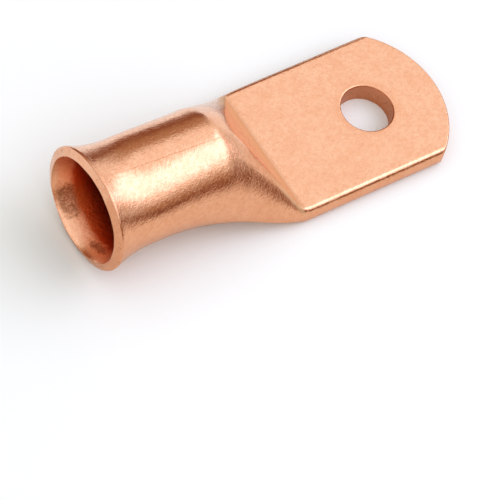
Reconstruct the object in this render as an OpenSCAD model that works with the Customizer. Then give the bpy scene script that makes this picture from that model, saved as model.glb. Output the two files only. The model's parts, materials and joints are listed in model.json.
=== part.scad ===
// Copper cable lug, made as one piece from a length of round tube.
// The cable's end is a bell mouth. Behind it the tube stays round, and past the shoulder it is
// pressed down to a flat palm of two tube walls, with a stud hole and an end cut to an arc.
// X runs along the lug towards the palm's end, Y across it and Z up. The origin is the centre
// of the stud hole, on the underside of the palm. All sizes are in millimetres.

/* [Tube] */
// Outer diameter of the round barrel
barrel_od = 11.3; // [9.5:0.1:13]
// Wall of the tube
wall = 1.2; // [0.9:0.05:1.5]
// Plain round length between the bell mouth and the neck
straight_length = 0.7; // [0.3:0.1:20]

/* [Bell mouth] */
// Diameter over the outer edge of the bell mouth
flare_od = 13.2; // [12.2:0.1:15.5]
// Angle between the wall and the axis at the mouth
flare_angle = 22; // [14:1:35]

/* [Neck] */
// Length from the end of the round tube to the shoulder of the pressed face
neck_lead = 9.7; // [8.5:0.1:13]
// Slope of the pressed face between the shoulder and the palm
slope_angle = 55; // [45:0.5:62]
// Half length over which the top rounds off at the shoulder
shoulder_round = 2; // [1:0.1:3.5]
// Half length of the bend where the pressed face meets the palm
crease_round = 0.4; // [0.2:0.05:1]
// Half length over which the sides start to swell
side_round = 4.6; // [3:0.1:6]
// Half length over which the widest level starts to sink
belly_round = 2.9; // [1.5:0.1:3.5]
// Length behind the crease over which the underside comes down to the palm's level
foot_length = 5; // [3.5:0.1:7]

/* [Palm] */
// Width of the palm over its folded edges
palm_w = 16.2; // [14.5:0.1:19]
// Radius of the folded long edges
fold_r = 1; // [0.5:0.05:1.1]
// From the centre of the stud hole back to the crease
hole_to_crease = 12.9; // [8:0.1:20]
// From the centre of the stud hole out to the end of the palm
hole_to_end = 8.4; // [6:0.1:12]
// Height of the arc that the end is cut to
end_rise = 4.1; // [1.5:0.1:6]
// Rounding of the sheared upper edge of that arc
shear_r = 0.25; // [0.1:0.05:0.5]

/* [Stud hole] */
// Diameter of the stud hole
hole_d = 5.5; // [3.5:0.1:9]
// Rounding that the punch leaves round the top of the hole
hole_rim = 0.2; // [0.1:0.05:0.4]

/* [Hidden] */
copper = [0.85, 0.55, 0.40];
$fn = 96;

// How far a lofted solid runs on inside the plain one that it joins, and how much smaller it is there
lap = 0.4;
seat = 0.02;
// How far a cutter runs past what it cuts
over = 1;
// Height of the gap where the two walls close up
slit = 0.15;

// Tube
barrel_r = barrel_od / 2;
bore_r = barrel_r - wall;
palm_t = 2 * wall;
fold = min(fold_r, 0.9 * wall);

// Bell mouth: its outside is an arc about a centre outside the tube, and its inside an arc about
// the same centre, so the wall keeps its thickness
flare_r = (flare_od - barrel_od) / 2 / (1 - cos(flare_angle));
flare_length = (flare_r + wall) * sin(flare_angle);
flare_set_back = wall * sin(flare_angle);
mouth_r = barrel_r + flare_r - (flare_r + wall) * cos(flare_angle);

// The bell mouth's edge is level with the palm's underside, so the lug lies flat
axis_z = flare_od / 2;
barrel_top = axis_z + barrel_r;
barrel_foot = axis_z - barrel_r;

// Neck: from where each line starts, how far from the crease it ends, and how it rounds off there
side_lead = 2.1;
side_end = 0.1;
side_end_round = 1.7;
belly_end = 1.9;
belly_end_round = 2.8;
foot_end = 2.2;
foot_round = 1.3;
face_lead = 0.2;
face_round = 0.6;
face_inset = 0.6;
face_end = 0.3;
face_edge = 0.35;
sole_lead = 2.1;
sole_round = 2;
sole_end = 0.2;
sole_edge = 0.7;
pinch_lead = 1.5;
pinch_end = 1;
pinch_round = 0.5;

// How far behind the rounding of the shoulder the round bore stops
bore_stop = 2.1;

// Places along X, from the palm back to the mouth
crease_x = -hole_to_crease;
palm_x = crease_x + side_end_round + side_end;
shoulder_x = crease_x - (barrel_top - palm_t) / tan(slope_angle);
neck_x = shoulder_x - neck_lead;
flare_x = neck_x - straight_length;
mouth_x = flare_x - flare_length;
bore_end_x = shoulder_x - shoulder_round - bore_stop;

// Cavity: where the two walls meet, from the pressed face's slope
close_x = crease_x - (slit + wall * (1 / cos(slope_angle) - 1)) / tan(slope_angle);
cavity_round = 2;

// The end of the palm is an arc through both long edges
end_r = (pow(palm_w / 2, 2) + pow(end_rise, 2)) / (2 * end_rise);
end_x = hole_to_end - end_r;

// Rings of the lofts: points in a ring, and rings in each stretch
skin_points = 64;
cavity_points = 40;
lead_rings = 8;
shoulder_rings = 12;
face_rings = 9;
crease_rings = 6;
cavity_rings = 14;

// A line that is level before -r, runs up at 45 degrees after r, and bends evenly between
function bend(u, r) = u <= -r ? 0 : u >= r ? u : pow(u + r, 2) / (4 * r);
function bend_slope(u, r) = u <= -r ? 0 : u >= r ? 1 : (u + r) / (2 * r);

// A level that is a before x0 and b after x1, straight between them, with both corners rounded
function ramp(x, x0, a, x1, b, r0, r1) = a + (b - a) / (x1 - x0) * (bend(x - x0, r0) - bend(x - x1, r1));

// The outer skin of the neck at x: top, underside, level of its widest point and half widths
function top_z(x) = ramp(x, shoulder_x, barrel_top, crease_x, palm_t, shoulder_round, crease_round);
function foot_z(x) =
    ramp(x, crease_x - foot_length, barrel_foot, crease_x - foot_end, 0, foot_round, foot_round);
function belly_z(x) = ramp(x, neck_x + belly_round, axis_z, crease_x - belly_end, palm_t / 2,
    belly_round, belly_end_round);
function side_y(x) = ramp(x, neck_x + side_lead + side_round, barrel_r, crease_x + side_end, palm_w / 2,
    side_round, side_end_round);
// The flat stretch of the pressed face and that of the underside, as half widths. The face widens
// nearly to the palm's edges, and past the crease its edges run out into the palm's folds.
function face_y(x) = min(side_y(x) - face_edge * fold,
    ramp(x, shoulder_x - face_lead, 0, crease_x, palm_w / 2 - face_inset, face_round, face_end)
    - ramp(x, crease_x, 0, palm_x - face_end, fold - face_inset, face_end, face_end));
function sole_y(x) = min(side_y(x) - sole_edge * fold,
    ramp(x, shoulder_x + sole_lead, 0, crease_x + sole_end, palm_w / 2 - fold, sole_round, sole_end));
// How sharply the side walls leave the pressed face: 0 on the tube and on the palm, 1 between them
function pinch(x) =
    ramp(x, shoulder_x - pinch_lead, 0, shoulder_x + pinch_lead, 1, pinch_round, pinch_round)
    - ramp(x, crease_x - pinch_end, 0, palm_x - pinch_round, 1, pinch_round, pinch_round);

// The cavity inside the neck at x, one wall inside the skin
function top_steepness(x) = tan(slope_angle)
    * (bend_slope(x - shoulder_x, shoulder_round) - bend_slope(x - crease_x, crease_round));
function cavity_top(x) = top_z(x) - wall * sqrt(1 + pow(top_steepness(x), 2));
function cavity_foot(x) = foot_z(x) + wall;
function cavity_side(x) =
    ramp(x, bore_end_x + cavity_round, bore_r, close_x, palm_w / 2 - wall, cavity_round, slit);
function cavity_face(x) = min(face_y(x), cavity_side(x) - wall / 2);
// Its widest level is midway in the round bore, and past that as far up as the skin's is
function cavity_belly(x) =
    let (
        share = (belly_z(x) - foot_z(x)) / (top_z(x) - foot_z(x)),
        turned = ramp(x, bore_end_x + cavity_round, 0, shoulder_x, 1, cavity_round, pinch_round),
        part = 0.5 + turned * (share - 0.5)
    )
    cavity_foot(x) + part * (cavity_top(x) - cavity_foot(x));

// A ring of points across X: a flat on top, a flat below, and a quarter of an ellipse at each
// corner. The quarters above and below meet at the widest level. Where the pinch is 1, each upper
// quarter is an arc of a circle instead, upright at the widest level and meeting the flat at an
// angle, and between 0 and 1 it is a mix of the two.
function ring(x, top, mid, foot, side, flat_top, flat_foot, pinched, count) = [
    for (i = [0 : count - 1])
        let (
            turn = (i + 0.5) * 360 / count,
            grow = 1 / cos(180 / count),
            upper = turn < 180,
            flat = upper ? flat_top : flat_foot,
            rise = upper ? top - mid : mid - foot,
            run = side - flat,
            out = run * abs(cos(turn)) * grow,
            up = rise * sin(turn) * grow,
            part = abs(turn - 90) / 90,
            radius = (run * run + rise * rise) / (2 * run),
            arc = atan2(rise, radius - run) * (1 - part),
            share = upper && rise > run ? pinched : 0,
            across = out + share * (run - radius * (1 - cos(arc)) - out)
        )
        [x, sign(cos(turn)) * (flat + across), mid + up + share * (radius * sin(arc) - up)]
];

function skin_ring(x, inset) = ring(x, top_z(x) - inset, belly_z(x), foot_z(x) + inset,
    side_y(x) - inset, max(0, face_y(x) - inset), max(0, sole_y(x) - inset), pinch(x), skin_points);

function cavity_ring(x, inset) = ring(x, cavity_top(x) - inset, cavity_belly(x),
    cavity_foot(x) + inset, cavity_side(x) - inset, cavity_face(x), cavity_face(x), pinch(x),
    cavity_points);

// Evenly spaced places from a to b, without a itself
function steps(a, b, count) = [for (i = [1 : count]) a + (b - a) * i / count];

// A closed solid through a list of rings that run along +X
module loft(rings) {
    count = len(rings[0]);
    last = len(rings) - 1;
    sides = [
        for (j = [0 : last - 1], i = [0 : count - 1])
            let (
                k = (i + 1) % count,
                near = j * count,
                far = (j + 1) * count
            )
            each [[near + i, far + i, far + k], [near + i, far + k, near + k]]
    ];
    first_end = [for (i = [0 : count - 1]) i];
    last_end = [for (i = [count - 1 : -1 : 0]) last * count + i];
    polyhedron(points = [for (r = rings) each r], faces = concat(sides, [first_end], [last_end]));
}

// The skin of the neck, from round tube to flat palm
module neck() {
    places = concat(
        steps(neck_x, bore_end_x, lead_rings),
        steps(bore_end_x, shoulder_x + shoulder_round, shoulder_rings),
        steps(shoulder_x + shoulder_round, crease_x - crease_round, face_rings),
        steps(crease_x - crease_round, palm_x, crease_rings)
    );
    inner = [for (i = [0 : len(places) - 2]) places[i]];
    loft(concat(
        [skin_ring(neck_x - lap, seat), skin_ring(neck_x, seat)],
        [for (x = inner) skin_ring(x, 0)],
        [skin_ring(palm_x, seat), skin_ring(palm_x + lap, seat)]
    ));
}

// The hollow inside the neck: round at the bore's end, and a closed slit where the walls meet
module neck_cavity() {
    places = steps(bore_end_x, close_x, cavity_rings);
    loft(concat(
        [cavity_ring(bore_end_x - lap, seat), cavity_ring(bore_end_x, seat)],
        [for (x = places) cavity_ring(x, 0)]
    ));
}

// Turns a profile of radius and distance towards the mouth about the barrel's axis
module about_barrel() {
    translate([flare_x, 0, axis_z])
        rotate([0, -90, 0])
            rotate_extrude()
                children();
}

// Outline of the round part: the tube, and the bell mouth's outer arc up to its square-cut edge
module outer_profile() {
    difference() {
        polygon([
            [0, -straight_length],
            [barrel_r, -straight_length],
            [barrel_r, 0],
            [flare_od / 2, flare_length - flare_set_back],
            [mouth_r, flare_length],
            [0, flare_length]
        ]);
        translate([barrel_r + flare_r, 0])
            circle(flare_r);
    }
}

// Outline of the hollow: the bore, and the bell mouth's inner arc
module bore_profile() {
    difference() {
        polygon([
            [0, flare_x - bore_end_x],
            [bore_r, flare_x - bore_end_x],
            [bore_r, 0],
            [mouth_r, flare_length],
            [mouth_r, flare_length + over],
            [0, flare_length + over]
        ]);
        translate([barrel_r + flare_r, 0])
            circle(flare_r + wall);
    }
}

// The palm's section across X: flat above and below, with folded edges
module palm_section() {
    translate([-palm_t / 2, 0])
        square([palm_t, palm_w - 2 * fold], center = true);
    translate([-palm_t / 2, 0])
        square([palm_t - 2 * fold, palm_w], center = true);
    for (side = [-1, 1], level = [fold, palm_t - fold])
        translate([-level, side * (palm_w / 2 - fold)])
            circle(fold);
}

// The palm as a bar that runs past its end
module palm_bar() {
    translate([palm_x, 0, 0])
        rotate([0, 90, 0])
            linear_extrude(hole_to_end + over - palm_x)
                palm_section();
}

// What the shear takes off beyond the arc, with the rounding that it leaves on the upper edge
module end_waste() {
    translate([end_x, 0, 0])
        difference() {
            translate([0, -palm_w, -over])
                cube([end_r + 2 * over, 2 * palm_w, palm_t + 2 * over]);
            rotate_extrude() {
                translate([0, -2 * over])
                    square([end_r, palm_t + 2 * over - shear_r]);
                square([end_r - shear_r, palm_t]);
                translate([end_r - shear_r, palm_t - shear_r])
                    circle(shear_r);
            }
        }
}

// The punched stud hole, with a rounded upper rim
module stud_hole() {
    translate([0, 0, -over])
        cylinder(d = hole_d, h = palm_t + 2 * over);
    rotate_extrude()
        difference() {
            translate([0, palm_t - hole_rim])
                square([hole_d / 2 + hole_rim, hole_rim + over]);
            translate([hole_d / 2 + hole_rim, palm_t - hole_rim])
                circle(hole_rim);
        }
}

module lug() {
    color(copper)
        difference() {
            union() {
                about_barrel() outer_profile();
                neck();
                palm_bar();
            }
            about_barrel() bore_profile();
            neck_cavity();
            end_waste();
            stud_hole();
        }
}

lug();
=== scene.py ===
"""Copper cable lug: the bare copper piece, its finish, and the studio that it is shown in.

The lug is one closed skin, worked out on grids of points: from the slit where the two walls meet,
out along the bore and the bell mouth, round the lip, back along the barrel and the neck, and over
the palm. Two more grids close the palm's sheared end and line the punched stud hole.
Formulas are in millimetres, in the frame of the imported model, and points are put into the mesh in
metres.
"""

import json
import math

import bpy
import numpy as np
from bpy.props import FloatProperty, FloatVectorProperty, PointerProperty
from bpy.types import Operator, Panel, PropertyGroup
from mathutils import Matrix, Quaternion, Vector


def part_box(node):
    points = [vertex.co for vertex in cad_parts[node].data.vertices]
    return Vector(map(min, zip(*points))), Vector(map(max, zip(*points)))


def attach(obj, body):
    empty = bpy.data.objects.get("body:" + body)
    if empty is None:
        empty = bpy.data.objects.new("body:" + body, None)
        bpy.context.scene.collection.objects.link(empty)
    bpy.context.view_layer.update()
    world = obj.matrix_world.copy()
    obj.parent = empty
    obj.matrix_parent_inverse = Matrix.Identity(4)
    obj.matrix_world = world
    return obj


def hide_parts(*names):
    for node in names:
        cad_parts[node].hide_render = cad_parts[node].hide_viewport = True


bl_info = {
    "name": "Copper cable lug",
    "version": (1, 0, 0),
    "blender": (4, 5, 0),
    "location": "3D View > Sidebar > Cable lug",
    "description": "Makes a copper tube lug with a bell mouth and a pressed palm, and a studio",
    "category": "Add Mesh",
}

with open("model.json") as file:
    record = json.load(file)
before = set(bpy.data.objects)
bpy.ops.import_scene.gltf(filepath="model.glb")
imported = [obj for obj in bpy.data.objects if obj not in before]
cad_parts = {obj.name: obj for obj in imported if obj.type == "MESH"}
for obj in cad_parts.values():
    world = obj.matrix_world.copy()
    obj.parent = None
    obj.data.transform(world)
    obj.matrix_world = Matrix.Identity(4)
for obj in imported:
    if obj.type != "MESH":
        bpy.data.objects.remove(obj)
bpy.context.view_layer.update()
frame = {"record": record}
LOW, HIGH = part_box("lug")
MOUNTS = {mount["name"]: mount for mount in frame["record"]["mounts"]}
MM = 0.001
TO_MM = 1000


# ---------------------------------------------------------------- values that a user may change


def length(name, words, default):
    """A length in metres, shown in the scene's unit."""
    return FloatProperty(
        name=name, description=words, default=default, min=0.0, precision=5, unit="LENGTH"
    )


def angle(name, words, degrees):
    """An angle, given here in degrees and kept in radians."""
    return FloatProperty(
        name=name, description=words, default=math.radians(degrees), subtype="ANGLE"
    )


def colour(name, words, default):
    """A linear colour."""
    return FloatVectorProperty(
        name=name, description=words, default=default, size=3, min=0.0, max=1.0, subtype="COLOR"
    )


def amount(name, words, default, top=1.0):
    """A plain number from 0 up to top."""
    return FloatProperty(name=name, description=words, default=default, min=0.0, max=top)


class LugSizes(PropertyGroup):
    """Sizes of the lug. The frame gives those that its box and its mounts hold."""

    barrel_diameter: length("Barrel diameter", "Over the round tube", 0.0113)
    wall: length("Wall", "Thickness of the tube's wall", 0.0012)
    flare_diameter: length("Bell mouth", "Over the bell mouth's outer edge", HIGH[2] - LOW[2])
    flare_angle: angle("Bell mouth angle", "Between the wall and the axis at the mouth", 22.0)
    lip_round: length("Lip rounding", "Radius of the lip's outer edge", 0.00022)
    lip_bore_round: length("Lip inner edge", "Radius of the lip's inner edge", 0.00005)
    lip_wall: length("Lip wall", "Thickness of the wall where it ends", 0.00106)
    mouth_lift: length("Mouth lift", "How far the mouth's centre is above the tube's", 0.00012)
    straight_length: length("Straight tube", "Between the bell mouth and the neck", 0.0007)
    neck_lead: length("Neck lead", "From the round tube to the shoulder", 0.0097)
    slope_angle: angle("Pressed slope", "Slope of the pressed face", 55)
    shoulder_round: length("Shoulder rounding", "Half length of the bend at the shoulder", 0.002)
    crease_round: length("Crease rounding", "Half length of the bend at the palm", 0.0005)
    side_round: length("Side rounding", "Half length of the bend in plan", 0.0046)
    belly_round: length("Belly rounding", "Half length of the bend at the widest level", 0.0029)
    foot_length: length("Foot length", "Over which the underside comes down", 0.005)
    palm_width: length("Palm width", "Over the folded edges", HIGH[1] - LOW[1])
    fold_radius: length("Fold radius", "Of the palm's long edges", 0.0007)
    hole_to_crease: length("Hole to crease", "From the hole's centre back to the crease", 0.0129)
    hole_to_end: length("Hole to end", "From the hole's centre to the palm's end", HIGH[0])
    end_rise: length("End arc height", "Height of the arc that the end is cut to", 0.0041)
    shear_round: length("Sheared edge", "Rounding of the end's upper edge", 0.00025)
    hole_diameter: length(
        "Stud hole", "Diameter of the punched hole", 2 * MM * MOUNTS["stud_hole"]["dims"]["r_mm"]
    )
    hole_rim: length("Hole rim", "Rounding that the punch leaves", 0.0002)
    seam_depth: length("Seam depth", "Of the fine line between the two walls", 0.00004)


class CopperLook(PropertyGroup):
    """Colours and finish of the bare copper."""

    copper: colour("Copper", "Clean drawn copper", (0.955, 0.535, 0.343))
    warm: colour("Warm copper", "Where the surface is a little duller", (0.87, 0.42, 0.24))
    # Partly painted light: the pressed face is painted this yellower, less red tone, a painted
    # sheen for the light that it mirrors. It is rougher there too.
    pressed: colour("Pressed slope", "Duller copper where the press bore", (0.88, 0.565, 0.335))
    # This dull tone also paints the dark line along the barrel's top, a painted reflection of a
    # dark gap between lamps.
    worn: colour("Specks", "Fine dull specks", (0.70, 0.31, 0.17))
    # Painted shade: this dark tone paints two patches just inside the mouth, a shadow and a dark
    # reflection there. The real pits on the lip take it too.
    mouth_shade: colour("Stained mouth", "Duller copper just inside the mouth", (0.36, 0.13, 0.06))
    # Painted shade: about two millimetres and more inside the lip, the bore is painted this dark
    # red, where little light reaches into the tube.
    bore_shade: colour("Dark bore", "Copper that is never rubbed, inside the tube", (0.62, 0.13, 0.03))
    sheared: colour("Sheared walls", "Of the stud hole and the palm's end", (0.68, 0.29, 0.16))
    polish: amount("Roughness", "Of the tumbled surface", 0.08)
    grain_depth: length("Grain depth", "Height of the tumbled grain", 0.000016)
    scuff_depth: length("Scuff depth", "Depth of the fine scuffs", 0.000006)
    swell_depth: length("Swell depth", "Height of the slow waves in the surface", 0.000016)
    draw_depth: length("Draw lines", "Height of the lines along the tube", 0.000004)


class StudioSetup(PropertyGroup):
    """Floor, room, lamp, cards and camera."""

    floor: colour("Floor", "Plain pale floor", (0.93, 0.99, 0.985))
    sky: amount("Ceiling light", "Strength of the white ceiling", 1.06, top=4.0)
    room: colour("Room", "Dim walls that the metal mirrors", (0.42, 0.25, 0.14))
    ends: colour("Room ends", "Paler walls at the room's two ends", (0.72, 0.68, 0.64))
    corner: colour("Room corner", "Pale corner beyond the palm", (0.95, 0.92, 0.90))
    ground: amount("Ground light", "Strength of the pale ground under the floor", 0.85)
    card: colour("Dark cards", "Cards that give the metal its dark lines", (0.28, 0.13, 0.08))
    table: colour("Table card", "Grey card on the floor beside the lug", (0.76, 0.70, 0.60))
    softbox: amount("Softbox light", "Strength of the large lamp's face", 1.25, top=10.0)
    azimuth: angle("Camera azimuth", "Round the lug, from the side at -Y", -50.214)
    elevation: angle("Camera elevation", "Above the floor", 55.489)
    roll: angle("Camera roll", "Turn about the line of sight", 20.818)
    distance: length("Camera distance", "From the point it looks at", 0.40349)
    lens: amount("Lens", "Focal length in millimetres", 294.43, top=1000.0)


# ---------------------------------------------------------------- shape

# Short lengths in millimetres that finish the neck's lines, named for the line that each shapes:
# its lead in from the shoulder or the neck's start, its end at the crease, and its bends.
SIDE_LEAD, SIDE_END, SIDE_END_ROUND = 2.1, 0.1, 1.7
BELLY_END, BELLY_END_ROUND = 1.9, 2.8
FOOT_END, FOOT_ROUND = 2.2, 1.3
FACE_LEAD, FACE_ROUND, FACE_INSET, FACE_END = 0.2, 0.6, 0.6, 0.3
SOLE_LEAD, SOLE_ROUND, SOLE_END, SOLE_EDGE = 2.1, 2.0, 0.2, 0.7
PINCH_LEAD, PINCH_END, PINCH_ROUND = 1.5, 1.0, 0.5
BORE_STOP, CAVITY_ROUND, CAVITY_LEVEL_END, CAVITY_END = 2.1, 2.0, 0.5, 0.15

# The palm's lower edge, and the most of the palm's thickness that either edge may take, and of
# the wall that the fold's radius may take.
LOW_EDGE, EDGE_SHARE, FOLD_SHARE = 0.06, 0.35, 0.9

# How bare the lip is beside the sheared walls, and its slow waves: the height of each in
# millimetres, its number round the lip, and its turn.
LIP_CUT = 0.35
LIP_WAVES = ((0.022, 3, 0.6), (0.016, 7, 2.0), (0.010, 17, 1.1))

# The groove's width as a share of the wall that it runs in, the burr that the punch leaves, and
# the distance from the hole to the window in the palm that is filled round it.
GROOVE, BURR, WINDOW = 0.02, 0.05, 2.0

# Least values that keep a division from zero, and steps to a millimetre when points are welded.
LEAST_SHARE, LEAST_RUN, WELD_STEPS = 1e-9, 1e-6, 1e6

# How many points a ring has, how many an arc has, and how many rings each stretch has.
RING = 192
QUARTER = RING // 4
MOUTH_ARC, LIP_BORE_ARC, LIP_FLAT, LIP_ARC, EDGE_ARC = 26, 4, 9, 8, 7
CAVITY_RINGS, BORE_RINGS, TUBE_RINGS, NECK_RINGS = 30, 14, 40, 76
CREASE_RINGS, PALM_RINGS, SPREAD_RINGS = 22, 97, 12


def bend(u, r):
    """Zero before -r, u after r, and a parabola between the two."""
    return np.where(u <= -r, 0.0, np.where(u >= r, u, (u + r) ** 2 / (4 * r)))


def bend_slope(u, r):
    """Slope of bend: 0 before -r, 1 after r, and even between."""
    return np.clip((u + r) / (2 * r), 0.0, 1.0)


def ramp(x, x0, a, x1, b, r0, r1):
    """The level a before x0 and b after x1, straight between, with each corner bent over its r."""
    return a + (b - a) / (x1 - x0) * (bend(x - x0, r0) - bend(x - x1, r1))


class LugLines:
    """The lug's sizes, with lengths in millimetres, its places along X, and its neck's lines."""

    def __init__(self, sizes):
        for name in LugSizes.__annotations__:
            value = getattr(sizes, name)
            setattr(self, name, value if name.endswith("_angle") else value * TO_MM)
        self.barrel = self.barrel_diameter / 2
        self.bore = self.barrel - self.wall
        self.palm = 2 * self.wall
        self.half = self.palm_width / 2
        self.fold = min(self.fold_radius, FOLD_SHARE * self.wall)
        self.axis = self.flare_diameter / 2
        self.flare_r = (self.axis - self.barrel) / (1 - math.cos(self.flare_angle))
        self.tan = math.tan(self.slope_angle)
        self.crease = -self.hole_to_crease
        self.palm_start = self.crease + SIDE_END + SIDE_END_ROUND
        self.shoulder = self.crease - (self.axis + self.barrel - self.palm) / self.tan
        self.neck = self.shoulder - self.neck_lead
        self.tube = self.neck - self.straight_length
        self.bore_end = self.shoulder - self.shoulder_round - BORE_STOP
        self.close = self.crease - self.wall * (math.hypot(1, self.tan) - 1) / self.tan
        self.end_r = (self.half**2 + self.end_rise**2) / (2 * self.end_rise)
        self.end_centre = self.hole_to_end - self.end_r
        self.hole = self.hole_diameter / 2

    def top(self, x):
        """Centre line of the upper side: level, bent at the shoulder, straight to the palm."""
        high = self.axis + self.barrel
        rounds = (self.shoulder_round, self.crease_round)
        return ramp(x, self.shoulder, high, self.crease, self.palm, *rounds)

    def foot(self, x):
        """Centre line of the underside, which comes down to the palm's level."""
        low = self.axis - self.barrel
        start, stop = self.crease - self.foot_length, self.crease - FOOT_END
        return ramp(x, start, low, stop, 0, FOOT_ROUND, FOOT_ROUND)

    def belly(self, x):
        """Level of the widest points."""
        start, stop = self.neck + self.belly_round, self.crease - BELLY_END
        rounds = (self.belly_round, BELLY_END_ROUND)
        return ramp(x, start, self.axis, stop, self.palm / 2, *rounds)

    def side(self, x):
        """Half of the width at the widest points."""
        start, stop = self.neck + SIDE_LEAD + self.side_round, self.crease + SIDE_END
        rounds = (self.side_round, SIDE_END_ROUND)
        return ramp(x, start, self.barrel, stop, self.half, *rounds)

    def face(self, x):
        """Half of the width of the flat that the upper die presses."""
        start, stop = self.shoulder - FACE_LEAD, self.palm_start - FACE_END
        flat, less = self.half - FACE_INSET, self.fold - FACE_INSET
        wide = ramp(x, start, 0, self.crease, flat, FACE_ROUND, FACE_END)
        return wide - ramp(x, self.crease, 0, stop, less, FACE_END, FACE_END)

    def pinch(self, x):
        """How sharply the side walls leave the pressed face: 0 on tube and palm, 1 between."""
        rounds = (PINCH_ROUND, PINCH_ROUND)
        start = ramp(x, self.shoulder - PINCH_LEAD, 0, self.shoulder + PINCH_LEAD, 1, *rounds)
        stop = self.palm_start - PINCH_ROUND
        return start - ramp(x, self.crease - PINCH_END, 0, stop, 1, *rounds)

    def sole(self, x):
        """Half of the width of the flat that the lower die presses."""
        flat = self.half - self.fold
        start, stop = self.shoulder + SOLE_LEAD, self.crease + SOLE_END
        wide = ramp(x, start, 0, stop, flat, SOLE_ROUND, SOLE_END)
        return np.minimum(wide, self.side(x) - SOLE_EDGE * self.fold)

    def end(self, y):
        """X of the arc that the palm's end is cut to."""
        return self.end_centre + np.sqrt(self.end_r**2 - y**2)


def rings(x, top, mid, foot, side, flat_top, flat_foot, pinch=0.0):
    """Rings of points across X, one for each value of x.

    A ring runs from the widest point at +Y over the top to the one at -Y and back below. Each half
    is a flat in the middle and a quarter of an ellipse at each side, down to the widest level.
    Points are shared between flat and quarters by their lengths. Where pinch is 1, the upper
    quarter is instead an arc of a circle that is upright at the widest point and leaves the flat
    at a corner, and between 0 and 1 it is a mix of the two.
    """
    x, top, mid, foot, side, flat_top, flat_foot, pinch = (
        np.broadcast_to(v, np.shape(x))[:, None]
        for v in (x, top, mid, foot, side, flat_top, flat_foot, pinch)
    )
    number = np.arange(RING)[None]
    upper = number < 2 * QUARTER
    across = np.where(upper, 1 - number / QUARTER, number / QUARTER - 3)
    flat = np.where(upper, flat_top, flat_foot)
    rise = np.where(upper, top - mid, mid - foot)
    run = side - flat
    curve = math.pi / 2 * np.sqrt((run**2 + rise**2) / 2)
    share = flat / (flat + curve)
    far = np.abs(across)
    turn = np.clip((far - share) / (1 - share), 0, 1) * math.pi / 2
    level = np.clip(far / np.maximum(share, LEAST_SHARE), 0, 1)
    out, up = run * np.sin(turn), rise * np.cos(turn)
    radius = (run**2 + rise**2) / np.maximum(2 * run, LEAST_RUN)
    arc = np.arctan2(rise, radius - run) * (1 - turn * 2 / math.pi)
    share = np.where(upper & (far > share) & (rise > run), pinch, 0.0)
    out = out + share * (run - radius * (1 - np.cos(arc)) - out)
    up = up + share * (radius * np.sin(arc) - up)
    y = np.sign(across) * (flat * level + out)
    z = mid + np.where(upper, 1, -1) * up
    return np.stack([x + 0 * y, y, z], axis=-1)


def round_rings(line, x, r):
    """Plain circles about the tube's axis."""
    return rings(x, line.axis + r, line.axis, line.axis - r, r, 0.0, 0.0)


def edge_arc(corner, along, onward, radius, count):
    """Points of a rounded square corner in a plane, between two directions at right angles."""
    centre = corner - radius * along + radius * onward
    turn = np.linspace(0, math.pi / 2, count)[:, None]
    return centre + radius * (along * np.sin(turn) - onward * np.cos(turn))


def mouth_profile(line):
    """The bell mouth in (x, radius): the inner arc, the lip with its two rounded edges, the outer
    arc. Both arcs turn about one centre outside the tube, and the inner one comes a little closer
    to it towards the lip, so the wall thins slightly there."""
    out = line.flare_r
    hub = np.array([line.tube, line.barrel + out])
    last = line.flare_angle
    thin = line.wall - line.lip_wall
    ray = np.array([-math.sin(last), -math.cos(last)])
    ahead = np.array([-math.cos(last), math.sin(last)])
    inner = out + line.lip_wall

    def arc(radius, a, b, count):
        turn = np.linspace(a, b, count)[:, None]
        shrink = radius - thin * (turn / last) ** 2 if radius > out else radius
        return hub - shrink * np.hstack([np.sin(turn), np.cos(turn)])

    inside = arc(out + line.wall, 0.0, last - line.lip_bore_round / inner, MOUTH_ARC)
    outside = arc(out, last - line.lip_round / out, 0.0, MOUTH_ARC)
    level = np.linspace(inner - line.lip_bore_round, out + line.lip_round, LIP_FLAT)[1:-1, None]
    lip = np.vstack([
        edge_arc(hub + inner * ray, ahead, -ray, line.lip_bore_round, LIP_BORE_ARC),
        hub + ray * level,
        edge_arc(hub + out * ray, -ray, -ahead, line.lip_round, LIP_ARC),
    ])
    return inside, lip, outside


def worked_mouth(line, rings_of_mouth):
    """The bell mouth's rings as a worker leaves them: the centre rises by mouth_lift towards the
    lip, with the square of the way there, and the lip's edge is a little uneven, by slow waves
    round it that come up with the sixth power of the way there."""
    x, y, z = np.moveaxis(rings_of_mouth, -1, 0)
    far = np.clip((line.tube - x) / (line.flare_r * math.sin(line.flare_angle)), 0, 1)
    turn = np.arctan2(z - line.axis, y)
    waves = sum(height * np.sin(count * turn + shift) for height, count, shift in LIP_WAVES)
    x = x + far**6 * waves
    return np.stack([x, y, z + line.mouth_lift * far**2], axis=-1)


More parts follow.
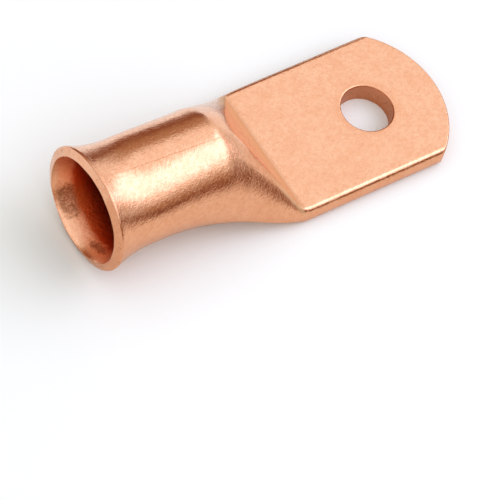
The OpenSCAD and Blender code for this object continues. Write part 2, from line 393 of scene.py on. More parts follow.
def lug_skin(line):
    """All rings from the slit to the palm's end, how far inside the mouth each one is, which of
    them make the lip, and the first one of the palm.

    The cavity's roof and bed lie a wall's thickness under the outside, and its widest level and
    width go over from the bore's to the palm's.
    """
    x = np.linspace(line.close, line.bore_end, CAVITY_RINGS)
    slope = line.tan * (
        bend_slope(x - line.shoulder, line.shoulder_round)
        - bend_slope(x - line.crease, line.crease_round)
    )
    roof = line.top(x) - line.wall * np.sqrt(1 + slope**2)
    bed = line.foot(x) + line.wall
    roof = np.maximum(roof, bed)
    roof[0] = bed[0]
    start, rounds = line.bore_end + CAVITY_ROUND, (CAVITY_ROUND, CAVITY_END)
    side = ramp(x, start, line.bore, line.close, line.half - line.wall, *rounds)
    flat = np.minimum(line.face(x), side - line.wall / 2)
    part = (line.belly(x) - line.foot(x)) / (line.top(x) - line.foot(x))
    change = ramp(x, start, 0, line.shoulder, 1, CAVITY_ROUND, CAVITY_LEVEL_END)
    part = 0.5 + change * (part - 0.5)
    cavity = rings(x, roof, bed + part * (roof - bed), bed, side, flat, flat, line.pinch(x))

    x = np.linspace(line.bore_end, line.tube, BORE_RINGS)[1:]
    bore = round_rings(line, x, line.bore)
    inside, lip, outside = mouth_profile(line)
    mouth = np.vstack([inside[1:-1], lip, outside[1:]])
    mouth = worked_mouth(line, round_rings(line, mouth[:, 0], mouth[:, 1]))

    x = np.concatenate([
        np.linspace(line.tube, line.bore_end, TUBE_RINGS)[1:],
        np.linspace(line.bore_end, line.crease - line.crease_round, NECK_RINGS)[1:],
        np.linspace(line.crease - line.crease_round, line.palm_start, CREASE_RINGS)[1:],
    ])
    neck = rings(
        x, line.top(x), line.belly(x), line.foot(x), line.side(x), line.face(x), line.sole(x),
        line.pinch(x),
    )

    part = np.linspace(0, 1, PALM_RINGS)[1:, None]
    palm = np.repeat(neck[-1:], len(part), axis=0)
    upper = np.arange(RING)[None] < 2 * QUARTER
    height = 2 * np.abs(palm[..., 2] - line.palm / 2)
    back = np.minimum(np.where(upper, line.shear_round, LOW_EDGE), EDGE_SHARE * height)
    stop = line.end(palm[..., 1]) - back
    palm[..., 0] = line.palm_start + part * (stop - line.palm_start)

    grid = np.concatenate([cavity, bore, mouth, neck, palm])
    start = len(cavity) + len(bore) + len(inside) - 2
    depth = np.zeros(len(grid))
    depth[:start] = grid[:start, 0, 0] - grid[start, 0, 0]
    lip_rows = slice(start, start + len(lip))
    return grid, depth, lip_rows, len(grid) - len(palm)


def groove_steps(middle, near, far, above, below):
    """Places down a wall, as shares of its height, drawn together round a groove at middle, and
    how deep the groove is at each, from 0 to 1: it is exp(-((place - middle) / GROOVE)^2)."""
    part = np.concatenate([
        np.linspace(0, middle - far, above)[1:],
        [middle - near, middle, middle + near],
        np.linspace(middle + far, 1, below)[:-1],
    ])
    return part, np.exp(-(((part - middle) / GROOVE) ** 2))


def end_face(line, edge):
    """The sheared end: from each point of the palm's upper edge down to the one below it, round
    the upper edge, over a fine groove where the two walls meet, to a crisp lower edge."""
    top = edge[: 2 * QUARTER + 1]
    under = edge[(RING - np.arange(2 * QUARTER + 1)) % RING]
    stop = line.end(top[:, 1])
    height = top[:, 2] - under[:, 2]
    bow = (stop - top[:, 0])[None]
    heel = (stop - under[:, 0])[None]
    turn = np.linspace(0, math.pi / 2, EDGE_ARC)[:, None]
    away, drop = 1 - np.sin(turn), 1 - np.cos(turn)
    upper_x, upper_z = bow * away, top[None, :, 2] - bow * drop
    lower_x, lower_z = heel * away[::-1], under[None, :, 2] + heel * drop[::-1]
    part, groove = groove_steps(middle=0.5, near=0.03, far=0.06, above=6, below=6)
    seam = line.seam_depth * groove[:, None] * np.minimum(height, 1)[None]
    wall_z = upper_z[-1:] + part[:, None] * (lower_z[:1] - upper_z[-1:])
    back = np.concatenate([upper_x, seam, lower_x])
    z = np.concatenate([upper_z, wall_z, lower_z])
    points = np.stack([stop[None] - back, top[None, :, 1] + 0 * z, z], axis=-1)
    points[0], points[-1] = top, under
    return points


def hole_lining(line, grid, first, last, low, high):
    """The stud hole with the palm round it: from a window in the palm's upper side in to the rim,
    round it, down the wall past the seam, and out to the same window in the underside.

    The window's edge is followed against the clock, and each of its points goes straight towards
    the hole's centre.
    """
    across, along = high - low, last - first
    ring = np.r_[[last] * across, last:first:-1, [first] * across, first:last]
    place = np.r_[high:low:-1, [low] * along, low:high, [high] * along]
    window = grid[ring, place]
    under = grid[ring, (RING - place) % RING]
    flat = window[:, :2]
    ray = flat / np.linalg.norm(flat, axis=1, keepdims=True)
    outer = line.hole + line.hole_rim
    near = np.linspace(0, 1, SPREAD_RINGS)[:, None, None]
    spread = flat + near * (outer * ray - flat)
    turn = np.linspace(0, math.pi / 2, EDGE_ARC)[1:]
    part, groove = groove_steps(middle=0.455, near=0.025, far=0.055, above=7, below=8)
    wall_top = line.palm - line.hole_rim
    radius = np.concatenate([
        outer - line.hole_rim * np.sin(turn),
        line.hole + line.seam_depth * groove,
        line.hole + BURR * (1 - np.cos(turn)),
    ])
    level = np.concatenate([
        line.palm - line.hole_rim * (1 - np.cos(turn)),
        wall_top + part * (BURR - wall_top),
        BURR * (1 - np.sin(turn)),
    ])
    lining = radius[:, None, None] * ray[None]
    below = under[:, :2] + near[::-1][1:] * ((line.hole + BURR) * ray - under[:, :2])
    xy = np.concatenate([spread, lining, below])
    z = np.concatenate([np.full(len(spread), line.palm), level, np.zeros(len(below))])
    points = np.concatenate([xy, np.broadcast_to(z[:, None, None], xy.shape[:2] + (1,))], axis=2)
    points[0], points[-1] = window, under
    return points


def quads_of(shape, start, around):
    """Four corners of each face of a grid of points. around joins its last column to its first."""
    number = start + np.arange(shape[0] * shape[1]).reshape(shape[:2])
    beside = np.roll(number, -1, axis=1)
    faces = np.stack([number[:-1], beside[:-1], beside[1:], number[1:]], axis=-1)
    return faces if around else faces[:, :-1]


def weld(points, faces):
    """Merges points at one place, and turns faces that lost a side into triangles."""
    steps = np.round(points * WELD_STEPS).astype(np.int64)
    _, first, number = np.unique(steps, axis=0, return_index=True, return_inverse=True)
    faces = number.reshape(-1)[faces]
    flat = faces == np.roll(faces, -1, axis=1)
    quads = faces[~flat.any(axis=1)]
    thin = faces[flat.sum(axis=1) == 1]
    start = np.argmax(flat[flat.sum(axis=1) == 1], axis=1)[:, None]
    tris = np.take_along_axis(thin, (start + 1 + np.arange(3)) % 4, axis=1)
    return first, quads, tris


def mesh_from(name, points, quads, tris, values):
    """A smooth mesh from points in millimetres, with one number of each name for each point."""
    mesh = bpy.data.meshes.new(name)
    corners = np.concatenate([quads.ravel(), tris.ravel()])
    starts = np.r_[0 : 4 * len(quads) : 4, 4 * len(quads) : len(corners) : 3]
    mesh.vertices.add(len(points))
    mesh.vertices.foreach_set("co", (points * MM).ravel().astype(np.float32))
    mesh.loops.add(len(corners))
    mesh.loops.foreach_set("vertex_index", corners.astype(np.int32))
    mesh.polygons.add(len(starts))
    mesh.polygons.foreach_set("loop_start", starts.astype(np.int32))
    mesh.polygons.foreach_set("use_smooth", np.ones(len(starts), dtype=bool))
    for key, value in values.items():
        layer = mesh.attributes.new(key, "FLOAT", "POINT")
        layer.data.foreach_set("value", value.astype(np.float32))
    mesh.update(calc_edges=True)
    if mesh.validate(verbose=False):
        raise RuntimeError(f"{name} has faces that don't hold together")
    return mesh


def lug_mesh(sizes):
    """The whole lug as one closed mesh. Its points carry two numbers: inside, how many
    millimetres they are from the lip inside the tube, and cut, how bare shearing left them."""
    line = LugLines(sizes)
    grid, depth, lip_rows, palm_row = lug_skin(line)
    middle = grid[palm_row:, QUARTER, 0]
    reach = line.hole + WINDOW
    first = palm_row + int(np.argmin(np.abs(middle + reach)))
    last = palm_row + int(np.argmin(np.abs(middle - reach)))
    across = grid[-1, : 2 * QUARTER + 1, 1]
    low = int(np.argmin(np.abs(across - reach)))
    high = 2 * QUARTER - low
    skin = quads_of(grid.shape, 0, True)
    keep = np.ones(skin.shape[:2], dtype=bool)
    keep[first:last, low:high] = False
    keep[first:last, RING - high : RING - low] = False
    end = end_face(line, grid[-1])
    hole = hole_lining(line, grid, first, last, low, high)
    end_start = grid.shape[0] * grid.shape[1]
    hole_start = end_start + end.shape[0] * end.shape[1]
    points = np.concatenate([grid.reshape(-1, 3), end.reshape(-1, 3), hole.reshape(-1, 3)])
    faces = np.concatenate([
        skin[keep],
        quads_of(end.shape, end_start, False).reshape(-1, 4),
        quads_of(hole.shape, hole_start, True).reshape(-1, 4),
    ])
    inside = np.zeros(len(points))
    inside[:end_start] = np.repeat(depth, RING)
    cut = np.zeros(len(points))
    cut[:end_start].reshape(grid.shape[:2])[lip_rows] = LIP_CUT
    cut[end_start:hole_start].reshape(end.shape[:2])[EDGE_ARC // 2 : -1] = 1
    cut[hole_start:].reshape(hole.shape[:2])[SPREAD_RINGS + 2 : -SPREAD_RINGS - 2] = 1
    keep_points, quads, tris = weld(points, faces)
    values = {"inside": inside[keep_points], "cut": cut[keep_points]}
    return mesh_from("lug_copper", points[keep_points], quads, tris, values)


# ---------------------------------------------------------------- finish

# Masks of noise on the copper: features to a millimetre, detail, roughness, and the two levels of
# the noise between which the mask comes up.
PATCHES = (0.55, 4.0, 0.60, 0.38, 0.68)
MOTTLE = (2.2, 4.0, 0.65, 0.40, 0.66)
SPECKS = (8.0, 2.0, 0.60, 0.58, 0.69)
PITS = (2.4, 3.0, 0.60, 0.62, 0.70)
SCUFFS = (1.7, 2.0, 0.50, 0.52, 0.66)

# A dark line on top of the barrel, a painted reflection of a dark gap between lamps, over a shallow
# groove: its angle about the tube's axis at X of 0, how that changes with each millimetre of X and
# how much it wanders, its half width as an angle, and both soft ends.
MARK_TURN, MARK_SLOPE, MARK_WANDER = 1.955, 0.0095, 0.03
MARK_EDGE, MARK_START, MARK_STOP = (0.022, 0.004), (-34.0, -31.0), (-20.0, -21.5)

# The dull ring round the stud hole fades between these distances outside it.
PUNCH_EDGE = (1.1, 0.2)

# The patches of painted shade inside the mouth, a shadow and a dark reflection painted on the
# copper: centre, stretch of each axis, and reach. Then the soft edge about the reach.
MOUTH_SHADES = (((-33.9, 3.4, 3.0), (0.9, 0.8, 0.9), 1.5), ((-34.1, -2.3, 2.2), (2.4, 0.7, 0.8), 1.1))
MOUTH_SHADE_EDGE = (0.3, -0.5)

# The pressed face, rougher where the press bore and painted a yellower, less red tone as a painted
# sheen for the light that it mirrors: where it comes up and where it stops, from the crease along
# X, and how far below the slope's plane it fades.
PRESS_START, PRESS_STOP, PRESS_DEPTH = (-4.5, -1.5), (0.3, -0.1), (1.0, 0.3)

# Millimetres inside the lip over which the bore grows dull, and over which painted shade makes it
# dark.
NEAR_EDGE, DEEP_EDGE = (0.05, 0.5), (1.6, 2.3)


class NodeDesk:
    """Places nodes in a tree and joins them."""

    def __init__(self, tree):
        self.tree = tree

    def node(self, kind, **settings):
        """A node of that kind. Settings with a capital letter are inputs, others properties."""
        made = self.tree.nodes.new(kind)
        for key, value in settings.items():
            if key[0].isupper():
                self.feed(made.inputs[key.replace("_", " ")], value)
            else:
                setattr(made, key, value)
        return made

    def feed(self, socket, value):
        """Links an output to the socket, or writes a plain value in it."""
        if isinstance(value, bpy.types.NodeSocket):
            self.tree.links.new(value, socket)
        else:
            socket.default_value = value

    def math(self, operation, *values):
        """A math node's output."""
        made = self.node("ShaderNodeMath", operation=operation)
        for socket, value in zip(made.inputs, values):
            self.feed(socket, value)
        return made.outputs[0]

    def mix(self, factor, a, b):
        """Two colours mixed. The node takes them in its sockets 6 and 7."""
        made = self.node("ShaderNodeMix", data_type="RGBA")
        for index, value in ((0, factor), (6, a), (7, b)):
            self.feed(made.inputs[index], value)
        return made.outputs[2]

    def noise(self, vector, scale, detail=3.0, roughness=0.5):
        """Noise between 0 and 1 whose features are 1 / scale wide."""
        made = self.node(
            "ShaderNodeTexNoise", Vector=vector, Scale=scale, Detail=detail, Roughness=roughness
        )
        return made.outputs["Fac"]

    def swing(self, noise, reach):
        """Noise as a number from -reach to reach."""
        return self.math("MULTIPLY_ADD", noise, 2 * reach, -reach)

    def blotches(self, vector, scale, detail, roughness, low, high):
        """A mask of noise: 0 where it is below low and 1 where it is above high."""
        return self.between(self.noise(vector, scale, detail, roughness), low, high)

    def point_value(self, name):
        """The number of that name that the mesh keeps for each point."""
        return self.node("ShaderNodeAttribute", attribute_name=name).outputs["Fac"]

    def split(self, vector):
        """The X, Y and Z of a vector."""
        return self.node("ShaderNodeSeparateXYZ", Vector=vector).outputs

    def span(self, vector):
        """The length of a vector."""
        made = self.node("ShaderNodeVectorMath", operation="LENGTH")
        self.feed(made.inputs[0], vector)
        return made.outputs["Value"]

    def bump(self, height, depth, normal=None):
        """A normal turned by a height of that depth in metres, on top of another normal."""
        made = self.node("ShaderNodeBump", Strength=1.0, Distance=depth, Height=height)
        if normal:
            self.feed(made.inputs["Normal"], normal)
        return made.outputs[0]

    def stretch(self, vector, scale):
        """The vector scaled by three numbers."""
        return self.node("ShaderNodeMapping", Vector=vector, Scale=scale).outputs[0]

    def turned(self, vector, turn, scale):
        """The vector turned by that angle about each axis, and then scaled by three numbers."""
        made = self.node("ShaderNodeMapping", Vector=vector, Rotation=(turn, turn / 2, turn))
        return self.stretch(made.outputs[0], scale)

    def between(self, value, low, high, to_low=0.0, to_high=1.0):
        """The value's way from low to high, which may be the lesser one, eased, as a number from
        to_low to to_high."""
        made = self.node(
            "ShaderNodeMapRange", interpolation_type="SMOOTHSTEP", clamp=True, Value=value
        )
        for socket, limit in zip(made.inputs[1:5], (low, high, to_low, to_high)):
            socket.default_value = limit
        return made.outputs[0]

    def matt(self, tone, roughness):
        """A shader with no shine."""
        made = self.node("ShaderNodeBsdfPrincipled", Base_Color=rgba(tone), Roughness=roughness)
        made.inputs["Specular IOR Level"].default_value = 0.0
        return made

    def blend(self, factor, first, second):
        """Two shaders mixed."""
        made = self.node("ShaderNodeMixShader", Fac=factor)
        for socket, shader in zip(made.inputs[1:], (first, second)):
            self.feed(socket, shader.outputs[0])
        return made

    def hand_over(self, kind, shader):
        """Joins the shader to an output node of that kind."""
        self.feed(self.node(kind).inputs[0], shader.outputs[0])


def empty_desk(holder):
    """A desk for the node tree of a material or a world, with nothing on it."""
    holder.use_nodes = True
    holder.node_tree.nodes.clear()
    return NodeDesk(holder.node_tree)


def rgba(value):
    """A colour of three numbers with a full fourth one."""
    return (*value, 1.0)


def groove_and_painted_line(desk, place, sizes):
    """One long shallow groove on top of the barrel, whose dark tone is a painted reflection of a
    dark gap between lamps: 1 on it and 0 off it. It lies where the angle about the tube's axis is a
    straight function of X."""
    x, y, z = desk.split(place)
    height = desk.math("SUBTRACT", z, sizes.flare_diameter / 2 * TO_MM)
    turn = desk.math("ARCTAN2", height, y)
    wander = desk.noise(desk.stretch(place, (1, 0, 0)), 0.8, 2.0)
    middle = desk.math("MULTIPLY_ADD", x, MARK_SLOPE, MARK_TURN)
    middle = desk.math("MULTIPLY_ADD", wander, MARK_WANDER, middle)
    beside = desk.math("ABSOLUTE", desk.math("SUBTRACT", turn, middle))
    mark = desk.between(beside, *MARK_EDGE)
    for soft_end in (MARK_START, MARK_STOP):
        mark = desk.math("MULTIPLY", mark, desk.between(x, *soft_end))
    # Noise breaks the painted line along its length, from a third of its strength to all of it.
    worn = desk.between(desk.noise(place, 1.3), 0.30, 0.55, 0.3, 1.0)
    return desk.math("MULTIPLY", mark, worn)


def punch_ring(desk, place, sizes):
    """A slightly duller ring round the stud hole, where the punch drew the metal down: 1 at the
    rim and 0 a little way out, broken by noise."""
    ragged = desk.swing(desk.noise(place, 0.8), 0.8)
    far = desk.math("ADD", desk.span(desk.stretch(place, (1, 1, 0))), ragged)
    rim = sizes.hole_diameter / 2 * TO_MM
    return desk.between(far, rim + PUNCH_EDGE[0], rim + PUNCH_EDGE[1])


def mouth_shade_patches(desk, place, near):
    """Two patches of painted shade just inside the mouth, a shadow and a dark reflection painted on
    the copper, 1 on them and 0 off them: a broad one on the far side and a narrow one below. Each
    is a distance from a point, made ragged by noise."""
    ragged = desk.swing(desk.noise(place, 1.6, 4.0, 0.6), 1.2)
    found = []
    for centre, stretch, reach in MOUTH_SHADES:
        offset = desk.node("ShaderNodeVectorMath", operation="SUBTRACT")
        desk.feed(offset.inputs[0], place)
        desk.feed(offset.inputs[1], centre)
        far = desk.math("ADD", desk.span(desk.stretch(offset.outputs[0], stretch)), ragged)
        found.append(desk.between(far, reach + MOUTH_SHADE_EDGE[0], reach + MOUTH_SHADE_EDGE[1]))
    both = desk.math("MULTIPLY", desk.math("MAXIMUM", *found), near)
    speckled = desk.between(desk.noise(place, 4.5, 3.0, 0.7), 0.35, 0.60, 0.45, 0.95)
    return desk.math("MULTIPLY", both, speckled)


def pressed_face(desk, place, sizes):
    """Where the press bore on the slope, which is made rougher there and painted a yellower, less
    red tone, a painted sheen: 1 on its flat face by the crease, fading up the slope and off its
    sides."""
    crease, palm = -sizes.hole_to_crease * TO_MM, 2 * sizes.wall * TO_MM
    steep = math.tan(sizes.slope_angle)
    x, _, z = desk.split(place)
    start, stop = (
        desk.between(x, crease + first, crease + last) for first, last in (PRESS_START, PRESS_STOP)
    )
    slope = desk.math("MULTIPLY", start, stop)
    face = desk.math("MULTIPLY_ADD", x, -steep, crease * steep + palm)
    below = desk.math("SUBTRACT", face, z)
    return desk.math("MULTIPLY", slope, desk.between(below, *PRESS_DEPTH))


def bare_copper(look, sizes):
    """Drawn copper tube with a soft tumbled polish. Duller tones are laid over the clean one in
    turn, and some of them are rougher too. Some are painted light: painted shade inside the mouth
    and deep in the bore, a painted reflection in a dark line along the barrel's top, and a painted
    sheen on the pressed face. Small heights turn the normal: lines along the tube, a fine grain,
    scuffs, the groove under the painted line and slow waves."""
    material = bpy.data.materials.new("bare_copper")
    desk = empty_desk(material)
    place = desk.node("ShaderNodeTexCoord").outputs["Object"]
    place = desk.stretch(place, (TO_MM, TO_MM, TO_MM))
    inside, cut = desk.point_value("inside"), desk.point_value("cut")

    patches, mottle, specks, pits = (
        desk.blotches(place, *mask) for mask in (PATCHES, MOTTLE, SPECKS, PITS)
    )
    pits = desk.math("MULTIPLY", pits, desk.between(cut, 0.1, 0.3))
    punched = punch_ring(desk, place, sizes)
    pressed = pressed_face(desk, place, sizes)
    mark = groove_and_painted_line(desk, place, sizes)
    near = desk.between(inside, *NEAR_EDGE)
    mouth_shade = mouth_shade_patches(desk, place, near)
    # Painted shade deep in the bore, with a ragged edge.
    ragged = desk.swing(desk.noise(place, 0.9), 0.25)
    deep = desk.between(desk.math("ADD", inside, ragged), *DEEP_EDGE)

    tone = rgba(look.copper)
    for mask, share, over in (
        (patches, 0.45, look.warm),
        (mottle, 0.52, look.warm),
        (punched, 0.60, look.warm),
        (specks, 0.62, look.worn),
        # Painted sheen on the pressed face.
        (pressed, 1.0, look.pressed),
        (cut, 0.80, look.sheared),
        # Painted shade and painted reflection just inside the mouth.
        (mouth_shade, 1.0, look.mouth_shade),
        # Real pits on the lip, in the same dark tone.
        (pits, 0.60, look.mouth_shade),
        # Painted shade deep in the bore.
        (deep, 0.94, look.bore_shade),
        # Painted reflection: a dark line along the barrel's top.
        (mark, 0.60, look.worn),
    ):
        tone = desk.mix(desk.math("MULTIPLY", mask, share), tone, rgba(over))

    rough = look.polish
    for mask, more in ((patches, 0.06), (near, 0.2), (mouth_shade, 0.1), (cut, 0.18), (pressed, 0.3)):
        rough = desk.math("MULTIPLY_ADD", mask, more, rough)

    lines = desk.noise(desk.stretch(place, (0.05, 1, 1)), 6.0, 3.0, 0.6)
    lines = desk.math("MULTIPLY", lines, desk.math("MULTIPLY_ADD", near, 4.0, 1.0))
    scuffs = desk.math("MAXIMUM", *(
        desk.blotches(desk.turned(place, turn, (0.5, 2.6, 2.6)), *SCUFFS) for turn in (0.7, -0.9)
    ))
    normal = None
    for height, depth in (
        (lines, look.draw_depth),
        (desk.noise(place, 4.2, 4.0, 0.75), look.grain_depth),
        (scuffs, look.scuff_depth),
        # The shallow groove under the painted line.
        (mark, -look.scuff_depth),
        (desk.noise(place, 0.8, 2.0), look.swell_depth),
    ):
        normal = desk.bump(height, depth, normal)
    metal = desk.node(
        "ShaderNodeBsdfPrincipled", Base_Color=tone, Metallic=1.0, Roughness=rough, Normal=normal
    )
    desk.hand_over("ShaderNodeOutputMaterial", metal)
    return material


# ---------------------------------------------------------------- studio

# Places in metres: what the camera and the lamp look at, and the X that the cards go round.
CAMERA_AIM, LAMP_AIM, CARDS_X = (-0.02132, -0.00989, 0.004), (-0.02, 0.0, 0.005), -0.018
LAMP_TINT = (1.0, 0.88, 1.17)
CARD_ARC, TABLE_ARC = 25, 65

# Half of the floor's width, how far it is under the lug, and how far the flat cards are over it.
FLOOR_HALF, FLOOR_DROP, CARD_RISE = 3.0, 0.00003, 0.00002

# Metal that mirrors the floor from farther than the first length sees the floor itself, and from
# nearer than the second one the ground below it.
TOUCHING = (0.03, 0.004)

# The strip along the palm's edge: how far out its two sides are, and how solid it is along X.
STRIP_SIDES = (0.0001, 0.005)
STRIP = ((-0.0115, 0.0), (-0.0065, 1.0), (0.5 * HIGH[0], 1.0), (2.0 * HIGH[0], 0.0))

# Soft edges in the mirrored room, as parts of the unit vector towards it: the paler ends, the pale
# corner beyond the palm with its turn, the ceiling with its tilt along X and Y, and the ground.
ENDS_EDGE, CORNER_EDGE, CORNER_TURN = (0.37, 0.84), (0.12, 0.28), -0.9
CEILING_EDGE, CEILING_TILT, GROUND_EDGE = (0.455, 0.61), (0.05, -0.21), (0.0, -0.03)


def direction(azimuth, elevation):
    """The unit vector towards that azimuth, from -Y round to +X, and elevation, in radians."""
    return Vector((
        math.sin(azimuth) * math.cos(elevation),
        -math.cos(azimuth) * math.cos(elevation),
        math.sin(elevation),
    ))


def linked(name, data):
    """An object of the scene that holds the data."""
    made = bpy.data.objects.new(name, data)
    bpy.context.collection.objects.link(made)
    return made


def pale_floor(look):
    """A wide level sheet under the lug, seen from above only. It is a hair lower than the lug, so
    that the two never share a plane, and metal that almost touches it mirrors the pale ground
    below instead of the sheet's unlit patch."""
    wide, level = FLOOR_HALF, LOW[2] - FLOOR_DROP
    mesh = bpy.data.meshes.new("floor")
    corners = [(-wide, -wide), (wide, -wide), (wide, wide), (-wide, wide)]
    mesh.from_pydata([(x, y, level) for x, y in corners], [], [(0, 1, 2, 3)])
    floor = linked("floor", mesh)
    material = bpy.data.materials.new("pale_floor")
    desk = empty_desk(material)
    back = desk.node("ShaderNodeNewGeometry").outputs["Backfacing"]
    path = desk.node("ShaderNodeLightPath")
    touching = desk.between(path.outputs["Ray Length"], *TOUCHING)
    touching = desk.math("MULTIPLY", touching, path.outputs["Is Glossy Ray"])
    clear = desk.node("ShaderNodeBsdfTransparent")
    sheet = desk.blend(desk.math("MAXIMUM", back, touching), desk.matt(look.floor, 0.9), clear)
    desk.hand_over("ShaderNodeOutputMaterial", sheet)
    mesh.materials.append(material)


def studio_world(look):
    """A white ceiling above a dim room, with a pale ground below. The room is paler towards both
    ends along X and palest in the corner beyond the palm, and the ceiling's edge is tilted."""
    world = bpy.data.worlds.new("studio")
    bpy.context.scene.world = world
    desk = empty_desk(world)
    x, y, z = desk.split(desk.node("ShaderNodeTexCoord").outputs["Generated"])
    ends = desk.between(desk.math("ABSOLUTE", x), *ENDS_EDGE)
    room = desk.mix(ends, rgba(look.room), rgba(look.ends))
    corner = desk.math("MINIMUM", desk.math("MULTIPLY_ADD", y, CORNER_TURN, x), y)
    room = desk.mix(desk.between(corner, *CORNER_EDGE), room, rgba(look.corner))
    tilt = desk.math("MULTIPLY_ADD", x, CEILING_TILT[0], z)
    tilt = desk.math("MULTIPLY_ADD", y, CEILING_TILT[1], tilt)
    tone = desk.mix(desk.between(tilt, *CEILING_EDGE), room, rgba([look.sky] * 3))
    tone = desk.mix(desk.between(z, *GROUND_EDGE), tone, rgba([look.ground] * 3))
    light = desk.node("ShaderNodeBackground", Color=tone, Strength=1.0)
    desk.hand_over("ShaderNodeOutputWorld", light)


def staged_card(name, points, faces, tone, body=None):
    """A matt card that shows in the lug's polish and nowhere else. body says how solid it is at
    each point, so that its ends can fade out; without it the card is solid all over."""
    mesh = bpy.data.meshes.new(name)
    mesh.from_pydata(points, [], faces)
    layer = mesh.attributes.new("body", "FLOAT", "POINT")
    layer.data.foreach_set("value", body or [1.0] * len(points))
    card = linked(name, mesh)
    material = bpy.data.materials.new(name)
    desk = empty_desk(material)
    clear = desk.node("ShaderNodeBsdfTransparent")
    matt = desk.blend(desk.point_value("body"), clear, desk.matt(tone, 1.0))
    desk.hand_over("ShaderNodeOutputMaterial", matt)
    mesh.materials.append(material)
    card.visible_camera = card.visible_diffuse = card.visible_shadow = False


def dark_card(name, first, last, away, height, tone):
    """A dim upright card bent round the lug from the azimuth first to last, in degrees, as used
    to give polished metal its dark lines. It is an arc, extruded upwards, that only mirrored
    light meets."""
    turn = np.radians(np.linspace(first, last, CARD_ARC))
    turn, rise = np.meshgrid(turn, (0.0, height), indexing="ij")
    centre = np.array([CARDS_X, 0.0, LOW[2]])
    points = centre + np.stack([away * np.sin(turn), -away * np.cos(turn), rise], axis=-1)
    faces = quads_of(points.shape, 0, False).reshape(-1, 4)
    staged_card(name, points.reshape(-1, 3).tolist(), faces.tolist(), tone)


def table_card(name, radius, near_side, tone):
    """A grey half round card on the floor beside the lug, from the Y of its straight side
    towards -Y, which only mirrored light meets."""
    turn = np.linspace(math.pi, 2 * math.pi, TABLE_ARC)
    centre = np.array([CARDS_X, near_side, LOW[2] + CARD_RISE])
    rim = centre + radius * np.stack([np.cos(turn), np.sin(turn), 0 * turn], axis=-1)
    staged_card(name, rim.tolist(), [tuple(range(TABLE_ARC))], tone)


def edge_card(name, tone):
    """A dim strip on the floor along the palm's far edge, which only mirrored light meets, so
    that the edge is dark against the pale floor."""
    sides = [HIGH[1] + away for away in STRIP_SIDES]
    points = [(x, y, LOW[2] + CARD_RISE) for x, _ in STRIP for y in sides]
    faces = [(i, i + 2, i + 3, i + 1) for i in (0, 2, 4)]
    body = [solid for _, solid in STRIP for _ in sides]
    staged_card(name, points, faces, tone, body)


def softbox(name, azimuth, elevation, lean, away, width, height, face):
    """A large rectangular lamp that looks at the lug, turned by lean about its line of sight. Its
    angles are in degrees, and face is how bright its face is."""
    lamp = bpy.data.lights.new(name, "AREA")
    lamp.color = LAMP_TINT
    lamp.shape = "RECTANGLE"
    lamp.size, lamp.size_y = width, height
    lamp.energy = face * math.pi * width * height
    obj = linked(name, lamp)
    towards = direction(math.radians(azimuth), math.radians(elevation))
    obj.location = Vector(LAMP_AIM) + away * towards
    obj.rotation_mode = "QUATERNION"
    turn = Quaternion((0.0, 0.0, 1.0), math.radians(lean))
    obj.rotation_quaternion = towards.to_track_quat("Z", "Y") @ turn


def studio_camera(look):
    """A long lens that looks down on the lug from the side of the bell mouth."""
    data = bpy.data.cameras.new("camera")
    data.sensor_width = 36
    data.lens = look.lens
    data.clip_start, data.clip_end = 0.01, 20
    camera = linked("camera", data)
    back = direction(look.azimuth, look.elevation)
    right = Vector((0, 0, 1)).cross(back).normalized()
    up = back.cross(right)
    c, s = math.cos(look.roll), math.sin(look.roll)
    turn = Matrix((c * right + s * up, c * up - s * right, back)).transposed()
    place = Vector(CAMERA_AIM) + look.distance * back
    camera.matrix_world = Matrix.Translation(place) @ turn.to_4x4()
    bpy.context.scene.camera = camera


# ---------------------------------------------------------------- operators and panel


class LUG_OT_copper_lug(Operator):
    """Make the lug: bell mouth, barrel, pressed neck and palm, in bare copper"""

    bl_idname = "cable_lug.copper_lug"
    bl_label = "Copper lug"
    bl_options = {"REGISTER", "UNDO"}

    def execute(self, context):
        mesh = lug_mesh(context.scene.lug_sizes)
        mesh.materials.append(bare_copper(context.scene.lug_copper, context.scene.lug_sizes))
        piece = bpy.data.objects.new("copper_lug", mesh)
        context.collection.objects.link(piece)
        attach(piece, "root")
        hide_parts("lug")
        return {"FINISHED"}


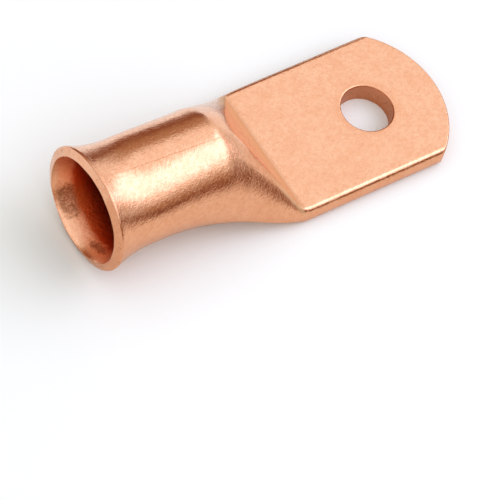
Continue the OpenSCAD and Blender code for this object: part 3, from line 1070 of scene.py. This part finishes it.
class LUG_OT_studio(Operator):
    """Make the pale floor, the room, the lamp, the cards and the camera"""

    bl_idname = "cable_lug.studio"
    bl_label = "Studio"
    bl_options = {"REGISTER", "UNDO"}

    def execute(self, context):
        look = context.scene.lug_studio
        context.scene.view_settings.view_transform = "Standard"
        pale_floor(look)
        studio_world(look)
        softbox(
            "softbox", azimuth=67, elevation=44.5, lean=-27, away=0.6, width=0.58, height=0.44,
            face=look.softbox,
        )
        table_card("table_card", radius=0.3, near_side=0.004, tone=look.table)
        edge_card("edge_card", look.card)
        dark_card("near_card", first=-25, last=68, away=0.056, height=0.015, tone=look.card)
        dark_card("far_card", first=138, last=222, away=0.052, height=0.026, tone=look.card)
        studio_camera(look)
        return {"FINISHED"}


class LUG_PT_panel(Panel):
    """Sizes, finish and studio of the cable lug"""

    bl_label = "Cable lug"
    bl_idname = "LUG_PT_panel"
    bl_space_type = "VIEW_3D"
    bl_region_type = "UI"
    bl_category = "Cable lug"

    def draw(self, context):
        groups = (
            (context.scene.lug_sizes, LUG_OT_copper_lug.bl_idname),
            (context.scene.lug_copper, None),
            (context.scene.lug_studio, LUG_OT_studio.bl_idname),
        )
        for group, operator in groups:
            box = self.layout.box()
            for name in group.__annotations__:
                box.prop(group, name)
            if operator:
                box.operator(operator)


CLASSES = (LugSizes, CopperLook, StudioSetup, LUG_OT_copper_lug, LUG_OT_studio, LUG_PT_panel)


def register():
    for item in CLASSES:
        bpy.utils.register_class(item)
    bpy.types.Scene.lug_sizes = PointerProperty(type=LugSizes)
    bpy.types.Scene.lug_copper = PointerProperty(type=CopperLook)
    bpy.types.Scene.lug_studio = PointerProperty(type=StudioSetup)


def unregister():
    del bpy.types.Scene.lug_studio
    del bpy.types.Scene.lug_copper
    del bpy.types.Scene.lug_sizes
    for item in reversed(CLASSES):
        bpy.utils.unregister_class(item)


def main():
    """Registers the classes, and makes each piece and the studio."""
    register()
    bpy.ops.cable_lug.copper_lug()
    bpy.ops.cable_lug.studio()
    bpy.context.view_layer.update()


if __name__ == "__main__":
    main()
